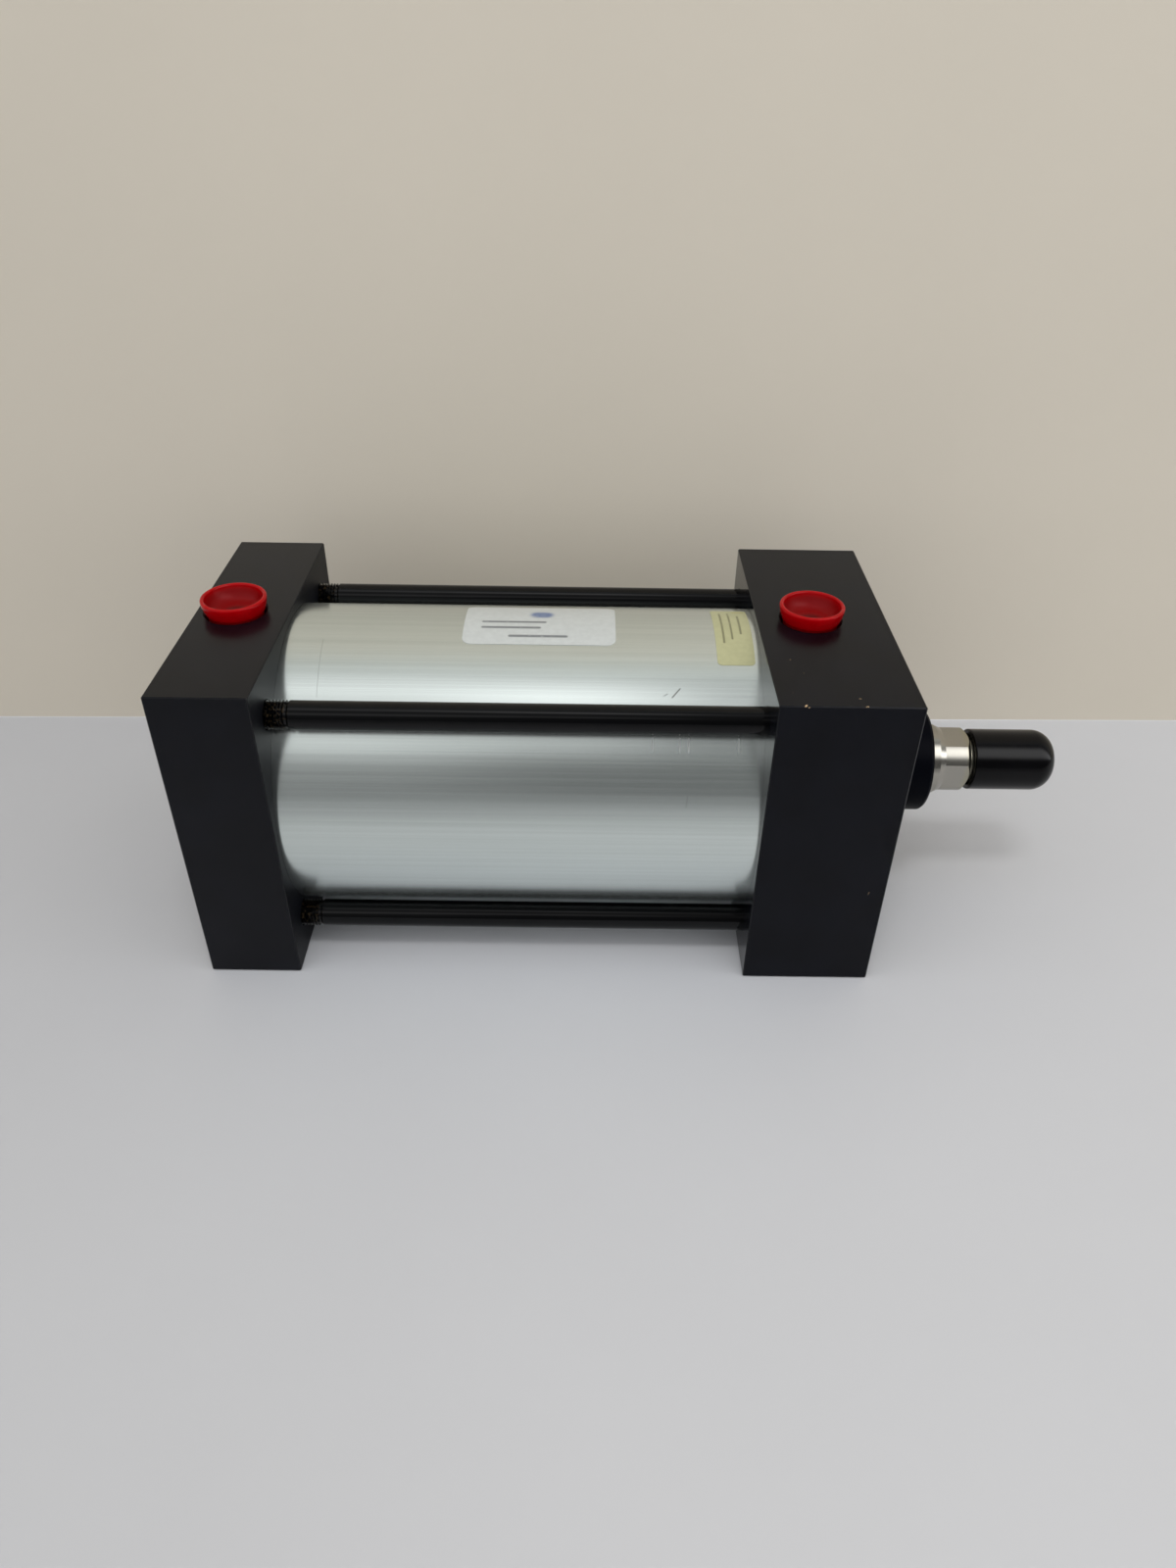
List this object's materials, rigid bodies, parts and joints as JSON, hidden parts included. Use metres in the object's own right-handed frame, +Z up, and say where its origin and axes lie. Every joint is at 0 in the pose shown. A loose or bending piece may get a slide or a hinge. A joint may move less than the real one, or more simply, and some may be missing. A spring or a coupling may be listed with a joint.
{
  "type": "pneumatic cylinder",
  "caption": "Square-head tie rod air cylinder with an aluminium barrel, recessed nuts, top ports with red plugs, a flatted rod and a black guard over its thread.",
  "frame": {"origin": "middle of the rectangle of tapped mounting holes, on the plane of the bottom faces", "axes": "+X along the rod towards its free end, +Z up out of the ports, +Y across"},
  "size_m": [0.3054, 0.1142, 0.1196],
  "materials": {
    "black_anodised_block": "satin black anodised with crisp edges",
    "clear_anodised_barrel": "clear anodised, drawn lengthwise, satin",
    "black_oxide_rod": "black oxide, oiled, glossy",
    "black_oxide_hardware": "black oxide, dull",
    "black_anodised_gland": "black anodised, turned",
    "bearing_bronze": "machined bronze",
    "spring_steel": "phosphated spring steel",
    "black_rubber": "smooth nitrile",
    "seal_urethane": "smooth urethane",
    "wear_band_plastic": "filled plastic strip",
    "polished_rod": "hard chromed, ground and polished",
    "machined_aluminium": "machined",
    "magnet_rubber": "bonded magnet strip",
    "zinc_steel": "zinc plated",
    "black_vinyl": "dipped vinyl, glossy",
    "red_plastic": "moulded polyethylene, slightly glossy"
  },
  "bodies": {
    "housing": {"head_block": "black_anodised_block", "cap_block": "black_anodised_block", "barrel": "clear_anodised_barrel", "head_barrel_seal": "black_rubber", "cap_barrel_seal": "black_rubber", "tie_rods": "black_oxide_rod", "tie_rod_washers": "black_oxide_hardware", "tie_rod_nuts": "black_oxide_hardware", "rod_gland": "black_anodised_gland", "gland_seal": "black_rubber", "rod_bushing": "bearing_bronze", "gland_retaining_ring": "spring_steel", "rod_seal": "seal_urethane", "rod_wiper": "seal_urethane"},
    "piston_rings": {"wear_band": "wear_band_plastic", "piston_seal_rear": "seal_urethane", "piston_seal_front": "seal_urethane"},
    "rod_and_piston": {"piston_rod": "polished_rod", "piston": "machined_aluminium", "piston_hub_seal": "black_rubber", "magnet_ring": "magnet_rubber", "piston_nut": "zinc_steel"},
    "thread_guard": {"thread_guard": "black_vinyl"},
    "head_port_plug": {"head_port_plug": "red_plastic"},
    "cap_port_plug": {"cap_port_plug": "red_plastic"}
  },
  "joints": [
    {"name": "piston_slide", "type": "slide", "parent": "housing", "child": "piston_rings", "axis": [1, 0, 0], "range_m": [0, 0.127]},
    {"name": "rod_spin", "type": "hinge", "parent": "piston_rings", "child": "rod_and_piston", "pos_m": [0, 0, 0.05715], "axis": [1, 0, 0], "continuous": true},
    {"name": "thread_guard_pull", "type": "slide", "parent": "rod_and_piston", "child": "thread_guard", "axis": [1, 0, 0], "range_m": [0, 0.045]},
    {"name": "head_port_plug_pull", "type": "slide", "parent": "housing", "child": "head_port_plug", "axis": [0, 0, 1], "range_m": [0, 0.03]},
    {"name": "cap_port_plug_pull", "type": "slide", "parent": "housing", "child": "cap_port_plug", "axis": [0, 0, 1], "range_m": [0, 0.03]}
  ]
}
